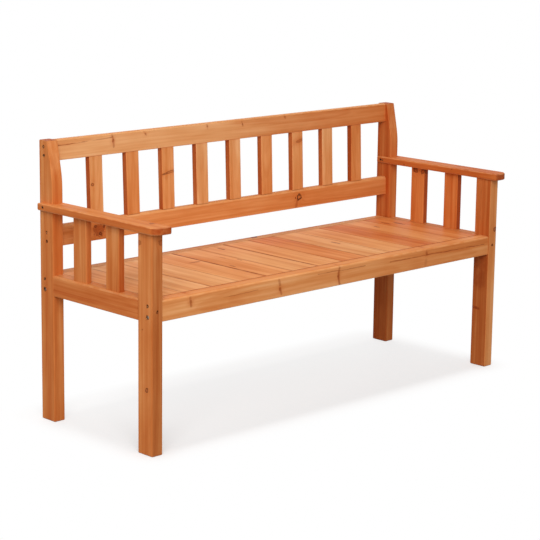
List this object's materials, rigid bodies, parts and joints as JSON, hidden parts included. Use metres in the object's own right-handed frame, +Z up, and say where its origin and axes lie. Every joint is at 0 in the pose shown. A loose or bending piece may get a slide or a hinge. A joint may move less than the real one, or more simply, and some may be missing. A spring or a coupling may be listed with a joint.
{
  "type": "wooden garden bench",
  "caption": "Stained softwood garden bench with a boarded seat, a leaning slatted back, flat armrests over slatted sides and straight legs.",
  "frame": {"origin": "on the floor, under the middle of the bench's bounding box", "axes": "+X along the bench to the right as seen from the front, +Y to the rear, +Z up; the sitter faces -Y"},
  "size_m": [1.53, 0.542, 0.846],
  "materials": {
    "post_wood": "orange-brown stained softwood, satin",
    "rail_wood": "orange-brown stained softwood, satin",
    "arm_wood": "orange-brown stained softwood, satin",
    "slat_wood": "orange-brown stained softwood, satin",
    "board_wood": "orange-brown stained softwood, satin",
    "dowel_wood": "plain beech, unstained",
    "zinc_steel": "bright zinc plating",
    "screw_steel": "dull yellow-passivated steel, dark in its recess"
  },
  "bodies": {
    "root": {"front_post_left": "post_wood", "front_post_right": "post_wood", "rear_post_left": "post_wood", "rear_post_right": "post_wood", "front_apron": "rail_wood", "rear_apron": "rail_wood", "side_rail_left": "rail_wood", "side_rail_right": "rail_wood", "armrest_left": "arm_wood", "armrest_right": "arm_wood", "arm_slat_left_1": "slat_wood", "arm_slat_left_2": "slat_wood", "arm_slat_right_1": "slat_wood", "arm_slat_right_2": "slat_wood", "back_top_rail": "rail_wood", "back_lower_rail": "rail_wood", "back_slat_1": "slat_wood", "back_slat_2": "slat_wood", "back_slat_3": "slat_wood", "back_slat_4": "slat_wood", "back_slat_5": "slat_wood", "back_slat_6": "slat_wood", "back_slat_7": "slat_wood", "back_slat_8": "slat_wood", "back_slat_9": "slat_wood", "seat_board_01": "board_wood", "seat_board_02": "board_wood", "seat_board_03": "board_wood", "seat_board_04": "board_wood", "seat_board_05": "board_wood", "seat_board_06": "board_wood", "seat_board_07": "board_wood", "seat_board_08": "board_wood", "seat_board_09": "board_wood", "seat_board_10": "board_wood", "seat_board_11": "board_wood", "seat_board_12": "board_wood", "seat_board_13": "board_wood", "seat_ledger_front": "board_wood", "seat_ledger_rear": "board_wood", "armrest_dowels": "dowel_wood", "frame_bolts": "zinc_steel", "barrel_nuts": "zinc_steel", "apron_screws": "screw_steel", "side_rail_screws": "screw_steel", "back_rail_screws": "screw_steel", "armrest_screws": "screw_steel", "seat_board_screws": "screw_steel", "seat_ledger_screws": "screw_steel"}
  },
  "joints": []
}
